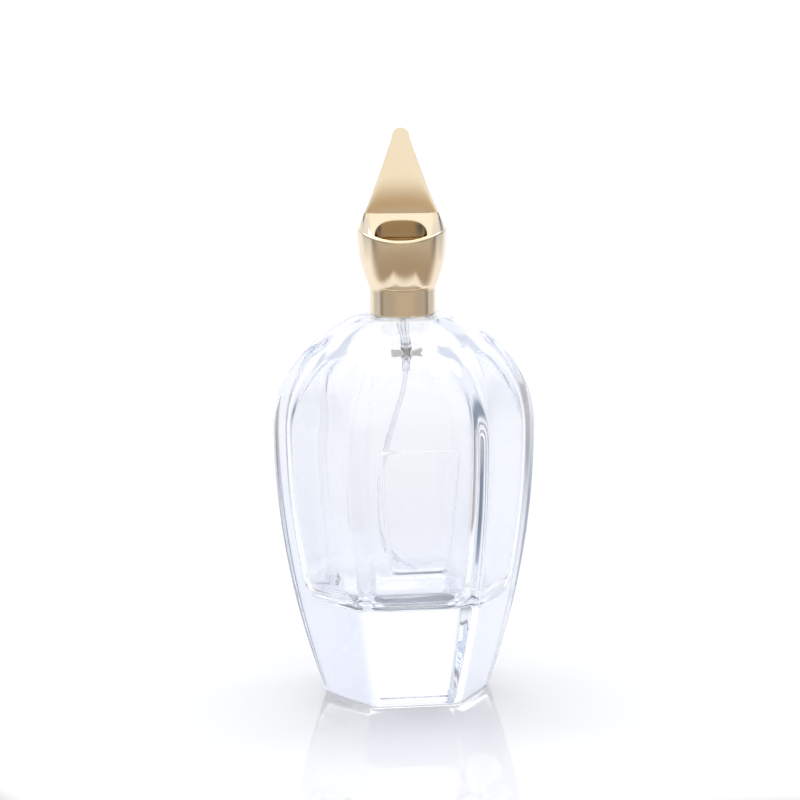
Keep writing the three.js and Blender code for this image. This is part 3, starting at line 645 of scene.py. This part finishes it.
def make_spring():
    coil_r = SPRING_HIGH.x - WIRE_R
    low, high = SPRING_LOW.z + WIRE_R, SPRING_HIGH.z - WIRE_R
    steps = SPRING_TURNS * 28
    points = []
    for i in range(steps + 1):
        share = i / steps
        turn = 2 * math.pi * SPRING_TURNS * share
        close = 0.5 * (1 - math.cos(math.pi * share))
        points.append(Vector((coil_r * math.cos(turn), coil_r * math.sin(turn), lerp(low, high, close))))
    verts, faces, sides = [], [], 8
    for i, p in enumerate(points):
        along = (points[min(i + 1, steps)] - points[max(i - 1, 0)]).normalized()
        out = Vector((p.x, p.y, 0)).normalized()
        up = along.cross(out).normalized()
        verts += [tuple(p + (out * math.cos(a) + up * math.sin(a)) * WIRE_R)
                  for a in (2 * math.pi * k / sides for k in range(sides))]
    for i in range(steps):
        a, b = i * sides, (i + 1) * sides
        faces += [(a + k, b + k, b + (k + 1) % sides, a + (k + 1) % sides) for k in range(sides)]
    faces += [tuple(range(sides)), tuple(reversed(range(steps * sides, (steps + 1) * sides)))]
    mesh = bpy.data.meshes.new("spring_coil")
    mesh.from_pydata(verts, [], faces)
    obj = smooth(new_object("spring_coil", mesh), 50)
    settle(obj, "bottle", "steel", "return_spring")
    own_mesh(obj)
    return obj


def cylinder_cutter(name, radius, start_y, end_y, z):
    mesh = bmesh.new()
    bmesh.ops.create_cone(mesh, cap_ends=True, segments=64, radius1=radius, radius2=radius,
                          depth=abs(end_y - start_y))
    bmesh.ops.rotate(mesh, verts=mesh.verts, cent=(0, 0, 0),
                     matrix=Matrix.Rotation(math.radians(90), 3, "X"))
    bmesh.ops.translate(mesh, verts=mesh.verts, vec=(0, (start_y + end_y) / 2, z))
    data = bpy.data.meshes.new(name)
    mesh.to_mesh(data)
    mesh.free()
    return new_object(name, data)


def make_button():
    nozzle_z = (NOZZLE_LOW.z + NOZZLE_HIGH.z) / 2
    nozzle_r = (NOZZLE_HIGH.z - NOZZLE_LOW.z) / 2
    shell = turned_copy("button_shell")
    front, middle = -BUTTON_HIGH.x * 1.2, -BUTTON_HIGH.x / 2
    subtract(shell, [cylinder_cutter("spray_window", nozzle_r + NOZZLE_GAP, front, middle, nozzle_z)])
    soften(smooth(shell), 0.08 * MM)
    return settle(shell, "button", "gold_aluminium", "button_shell")


def make_turned_pieces():
    pieces = {}
    for node, body, slot, edge in (
        ("neck_collar", "collar", "gold_aluminium", 0.06),
        ("crimp_ferrule", "bottle", "plain_aluminium", 0.08),
        ("pump_housing", "bottle", "clear_plastic", 0.05),
        ("neck_gasket", "bottle", "dark_rubber", 0.1),
        ("cap_liner", "cap", "white_plastic", 0.08),
        ("pump_stem", "plunger", "white_plastic", 0.05),
    ):
        obj = soften(smooth(turned_copy(node)), edge * MM)
        pieces[node] = settle(obj, body, slot, node)
    return pieces


# ---------------------------------------------------------------- materials
def nodes_of(name):
    material = bpy.data.materials.new(name)
    material.use_nodes = True
    tree = material.node_tree
    shader = tree.nodes["Principled BSDF"]
    return material, tree, shader


def noise(tree, scale, detail, stretch=(1, 1, 1)):
    place = tree.nodes.new("ShaderNodeTexCoord")
    mapping = tree.nodes.new("ShaderNodeMapping")
    mapping.inputs["Scale"].default_value = stretch
    texture = tree.nodes.new("ShaderNodeTexNoise")
    texture.inputs["Scale"].default_value = scale
    texture.inputs["Detail"].default_value = detail
    tree.links.new(place.outputs["Object"], mapping.inputs["Vector"])
    tree.links.new(mapping.outputs["Vector"], texture.inputs["Vector"])
    return texture.outputs["Fac"]


def ramp(tree, value, low, high):
    """The middle half of a noise, 0.25 to 0.75, spread over low to high."""
    node = tree.nodes.new("ShaderNodeMapRange")
    node.inputs["From Min"].default_value = 0.25
    node.inputs["From Max"].default_value = 0.75
    node.inputs["To Min"].default_value = low
    node.inputs["To Max"].default_value = high
    tree.links.new(value, node.inputs["Value"])
    return node.outputs["Result"]


def tint(tree, value, dark, light):
    node = tree.nodes.new("ShaderNodeValToRGB")
    node.color_ramp.elements[0].position = 0.3
    node.color_ramp.elements[0].color = (*dark, 1)
    node.color_ramp.elements[1].position = 0.7
    node.color_ramp.elements[1].color = (*light, 1)
    tree.links.new(value, node.inputs["Fac"])
    return node.outputs["Color"]


def bump(tree, shader, value, strength, distance):
    node = tree.nodes.new("ShaderNodeBump")
    node.inputs["Strength"].default_value = strength
    node.inputs["Distance"].default_value = distance
    tree.links.new(value, node.inputs["Height"])
    tree.links.new(node.outputs["Normal"], shader.inputs["Normal"])


GLASS_IOR = 1.5
GLASS_BODY_COLOR = (0.80, 0.85, 0.95)
GLASS_BODY_DENSITY = 4
# Colour of the painted shade on the cavity wall.
CAVITY_SHADE_COLOR = (0.86, 0.88, 0.94)
CAVITY_RIPPLE = 0.3
PLASTIC_IOR = 1.49
METAL_GRAIN = 900
METAL_BUMP = 0.03


def glass_material():
    material, tree, shader = nodes_of("glass_clear")
    shader.inputs["Transmission Weight"].default_value = 1
    shader.inputs["IOR"].default_value = GLASS_IOR
    waves = noise(tree, 22, 2, (1, 1, 0.6))
    ripples = noise(tree, 160, 2, (1, 1, 0.12))
    inner = named(tree, "inner")
    clear = tint(tree, waves, (0.985, 0.99, 0.995), (0.995, 0.998, 1.0))
    # Toward the cavity floor the glass colour turns greyer: painted shade.
    tree.links.new(mixed(tree, inner, clear, CAVITY_SHADE_COLOR), shader.inputs["Base Color"])
    tree.links.new(ramp(tree, waves, 0.0, 0.006), shader.inputs["Roughness"])
    ripple_share = combined(tree, "MULTIPLY", inner, CAVITY_RIPPLE)
    height = combined(tree, "ADD", waves, combined(tree, "MULTIPLY", ripples, ripple_share))
    bump(tree, shader, height, 0.05, 0.0004)
    body = tree.nodes.new("ShaderNodeVolumeAbsorption")
    body.inputs["Color"].default_value = (*GLASS_BODY_COLOR, 1)
    body.inputs["Density"].default_value = GLASS_BODY_DENSITY
    tree.links.new(body.outputs["Volume"], tree.nodes["Material Output"].inputs["Volume"])
    return material


def named(tree, name):
    """A vertex number made by mark."""
    node = tree.nodes.new("ShaderNodeAttribute")
    node.attribute_name = name
    return node.outputs["Fac"]


def metal_material(name, dark, light, rough, brush=(1, 1, 1), pocket_shade=None):
    material, tree, shader = nodes_of(name)
    shader.inputs["Metallic"].default_value = 1
    cloud = noise(tree, 60, 4)
    fine = noise(tree, METAL_GRAIN, 2, brush)
    color = tint(tree, cloud, dark, light)
    # Inside the cap's pockets a darker colour is mixed in: painted shade.
    if pocket_shade:
        color = mixed(tree, named(tree, "pocket_shade"), color, pocket_shade)
    tree.links.new(color, shader.inputs["Base Color"])
    tree.links.new(ramp(tree, fine, rough * 0.8, rough * 1.25), shader.inputs["Roughness"])
    bump(tree, shader, fine, METAL_BUMP, 0.00002)
    return material


def plastic_material(name, dark, light, rough, clear=0.0):
    material, tree, shader = nodes_of(name)
    shader.inputs["Transmission Weight"].default_value = clear
    shader.inputs["IOR"].default_value = PLASTIC_IOR
    cloud = noise(tree, 240, 3)
    tree.links.new(tint(tree, cloud, dark, light), shader.inputs["Base Color"])
    tree.links.new(ramp(tree, cloud, rough * 0.85, rough * 1.2), shader.inputs["Roughness"])
    bump(tree, shader, noise(tree, 1600, 2), 0.05, 0.00002)
    return material


def paint(obj, material):
    obj.data.materials.clear()
    obj.data.materials.append(material)


# ---------------------------------------------------------------- stage
BACKDROP_COLOR = (1.08, 1.08, 1.10)
BACKDROP_SIDE_COLOR = (0.90, 0.93, 1.03)
GAP_COLOR = (0.70, 0.74, 0.85)
FLANK_COLOR = (0.22, 0.26, 0.34)
ROOM_COLOR = (0.55, 0.44, 0.31)
ROOM_SIDE_COLOR = (0.14, 0.16, 0.21)
FRONT_COLOR = (0.99, 0.99, 0.97)
OVERHEAD_COLOR = (1.10, 1.12, 1.12)
SOFTBOX_COLOR = (2.9, 2.9, 2.9)
FLOOR_DARK = (0.80, 0.80, 0.81)
FLOOR_LIGHT = (0.83, 0.83, 0.84)
FLOOR_IOR = 1.8
FLOOR_DIM_NEAR = 0.116
FLOOR_DIM_FAR = 0.16
FLOOR_DIM_COLOR = (0.27, 0.21, 0.15)
FLOOR_POOL_HALF = 0.1
FLOOR_POOL_SLANT = 2.0
FLOOR_BACK_NEAR = -0.05
FLOOR_BACK_FAR = 0.12


def make_camera():
    view_side = math.radians(-7.3)
    reach, height = 0.9315, 0.2453
    data = bpy.data.cameras.new("camera")
    data.sensor_width = 36
    data.lens = 145.7
    obj = new_object("camera", data)
    obj.location = (reach * math.sin(view_side), -reach * math.cos(view_side), height)
    pitch, yaw, roll = math.radians(-9.68), math.radians(-0.07), math.radians(-0.72)
    aim = Vector((-math.sin(view_side - yaw) * math.cos(pitch), math.cos(view_side - yaw) * math.cos(pitch),
                  math.sin(pitch)))
    look = aim.to_track_quat("-Z", "Y").to_matrix()
    turn = math.cos(roll), math.sin(roll)
    right, up = look.col[0] * turn[0] + look.col[1] * turn[1], look.col[1] * turn[0] - look.col[0] * turn[1]
    look.col[0], look.col[1] = right, up
    obj.rotation_euler = look.to_euler()
    data.clip_start, data.clip_end = 0.01, 50
    bpy.context.scene.camera = obj


def make_floor():
    """Glossy white round and behind the object, easing to brown out in front: painted shade where the floor
    leaves the pool of light.
    """
    material, tree, shader = nodes_of("floor_gloss")
    cloud = noise(tree, 3, 2)
    white = tint(tree, cloud, FLOOR_DARK, FLOOR_LIGHT)
    shader.inputs["IOR"].default_value = FLOOR_IOR
    place = tree.nodes.new("ShaderNodeTexCoord")
    axes = tree.nodes.new("ShaderNodeSeparateXYZ")
    tree.links.new(place.outputs["Object"], axes.inputs["Vector"])
    beside = combined(tree, "SUBTRACT", combined(tree, "ABSOLUTE", axes.outputs["X"]), FLOOR_POOL_HALF)
    beside = combined(tree, "MULTIPLY", combined(tree, "MAXIMUM", beside, 0.0), FLOOR_POOL_SLANT)
    share = eased(tree, combined(tree, "SUBTRACT", beside, axes.outputs["Y"]), FLOOR_DIM_NEAR, FLOOR_DIM_FAR)
    share = combined(tree, "MULTIPLY", share, eased(tree, axes.outputs["Y"], FLOOR_BACK_FAR, FLOOR_BACK_NEAR))
    # The dim brown mixed in out in front is painted shade.
    tree.links.new(mixed(tree, share, white, FLOOR_DIM_COLOR), shader.inputs["Base Color"])
    tree.links.new(ramp(tree, cloud, 0.006, 0.014), shader.inputs["Roughness"])
    mesh = bpy.data.meshes.new("floor")
    reach = 6
    mesh.from_pydata([(-reach, -reach, 0), (reach, -reach, 0), (reach, reach, 0), (-reach, reach, 0)], [],
                     [(0, 1, 2, 3)])
    floor = new_object("floor", mesh)
    floor.location.z = -0.00002
    floor.data.materials.append(material)


def eased(tree, value, low, high):
    """A smooth 0 to 1 as the value goes from low to high."""
    node = tree.nodes.new("ShaderNodeMapRange")
    node.interpolation_type = "SMOOTHSTEP"
    node.inputs["From Min"].default_value = low
    node.inputs["From Max"].default_value = high
    tree.links.new(value, node.inputs["Value"])
    return node.outputs["Result"]


def combined(tree, operation, first, second=0.0):
    """A math node on two values, each a socket or a number."""
    node = tree.nodes.new("ShaderNodeMath")
    node.operation = operation
    for index, value in enumerate((first, second)):
        if isinstance(value, (int, float)):
            node.inputs[index].default_value = value
        else:
            tree.links.new(value, node.inputs[index])
    return node.outputs[0]


def mixed(tree, share, first, second):
    """A colour between two colours, each a socket or an (r, g, b)."""
    node = tree.nodes.new("ShaderNodeMix")
    node.data_type = "RGBA"
    node.clamp_factor = True
    tree.links.new(share, node.inputs[0])
    for index, color in ((6, first), (7, second)):
        if isinstance(color, tuple):
            node.inputs[index].default_value = (*color, 1)
        else:
            tree.links.new(color, node.inputs[index])
    return node.outputs[2]


def make_world():
    """White behind and overhead, with darker sides and a dim room low in front."""
    world = bpy.data.worlds.new("studio")
    bpy.context.scene.world = world
    world.use_nodes = True
    tree = world.node_tree
    place = tree.nodes.new("ShaderNodeTexCoord")
    axes = tree.nodes.new("ShaderNodeSeparateXYZ")
    tree.links.new(place.outputs["Generated"], axes.inputs["Vector"])
    x, y, z = (axes.outputs[i] for i in range(3))
    sideways = combined(tree, "ABSOLUTE", x)
    ahead = combined(tree, "MULTIPLY", y, -1.0)

    color = mixed(tree, eased(tree, sideways, 0.2, 0.72), BACKDROP_COLOR, BACKDROP_SIDE_COLOR)
    gap = combined(tree, "MULTIPLY", eased(tree, z, 0.36, 0.46), eased(tree, z, 0.72, 0.6))
    gap = combined(tree, "MULTIPLY", gap, eased(tree, sideways, 0.7, 0.5))
    color = mixed(tree, gap, color, GAP_COLOR)
    flank = combined(tree, "MULTIPLY", eased(tree, sideways, 0.70, 0.85), eased(tree, z, 0.42, 0.16))
    color = mixed(tree, flank, color, FLANK_COLOR)
    front = combined(tree, "MULTIPLY", eased(tree, ahead, -0.1, 0.5), eased(tree, z, 0.27, -0.02))
    room = mixed(tree, eased(tree, sideways, 0.35, 0.75), ROOM_COLOR, ROOM_SIDE_COLOR)
    color = mixed(tree, eased(tree, ahead, 0.0, 0.4), color, FRONT_COLOR)
    color = mixed(tree, front, color, room)
    color = mixed(tree, eased(tree, z, 0.72, 0.86), color, OVERHEAD_COLOR)
    softbox = combined(tree, "MULTIPLY", eased(tree, z, 0.66, 0.74), eased(tree, ahead, -0.12, -0.22))
    color = mixed(tree, softbox, color, SOFTBOX_COLOR)
    background = tree.nodes["Background"]
    tree.links.new(color, background.inputs["Color"])
    background.inputs["Strength"].default_value = 1


def render_settings():
    scene = bpy.context.scene
    scene.view_settings.view_transform = "Standard"
    scene.view_settings.look = "None"
    scene.cycles.use_denoising = True
    scene.cycles.max_bounces = 96
    scene.cycles.transmission_bounces = 96
    scene.cycles.glossy_bounces = 96
    scene.cycles.diffuse_bounces = 4


make_camera()
make_floor()
make_world()
render_settings()

# The crown's second colour is painted shade for the insides of its pockets.
gold_crown = metal_material("gold_crown", (0.90, 0.75, 0.54), (0.93, 0.79, 0.59), 0.11,
                            pocket_shade=(0.56, 0.42, 0.25))
gold_sleeve = metal_material("gold_sleeve", (0.86, 0.66, 0.40), (0.90, 0.72, 0.47), 0.12, (1, 1, 0.05))
bright_aluminium = metal_material("bright_aluminium", (0.78, 0.79, 0.81), (0.86, 0.87, 0.88), 0.16,
                                  (1, 1, 0.1))
steel = metal_material("spring_steel", (0.60, 0.61, 0.63), (0.70, 0.71, 0.73), 0.2)
white_plastic = plastic_material("white_plastic", (0.82, 0.82, 0.80), (0.88, 0.88, 0.87), 0.4)
clear_plastic = plastic_material("clear_plastic", (0.90, 0.91, 0.93), (0.96, 0.97, 0.98), 0.1, 1)
tube_plastic = plastic_material("tube_plastic", (0.94, 0.95, 0.97), (0.98, 0.985, 0.99), 0.04, 1)
rubber = plastic_material("dark_rubber", (0.03, 0.03, 0.032), (0.05, 0.05, 0.052), 0.7)

paint(make_glass(), glass_material())
paint(make_cap(), gold_crown)
paint(make_dip_tube(), tube_plastic)
paint(make_spring(), steel)
paint(make_button(), gold_sleeve)
turned = make_turned_pieces()
for node, material in (("neck_collar", gold_sleeve), ("crimp_ferrule", bright_aluminium),
                       ("pump_housing", clear_plastic), ("neck_gasket", rubber),
                       ("cap_liner", white_plastic), ("pump_stem", white_plastic)):
    paint(turned[node], material)
for node, material in (("stem_seal", rubber), ("turret_bushing", white_plastic), ("inlet_ball", steel),
                       ("poppet", white_plastic), ("piston", clear_plastic), ("button_core", white_plastic),
                       ("nozzle_insert", white_plastic)):
    paint(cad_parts[node], material)
    smooth(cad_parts[node])
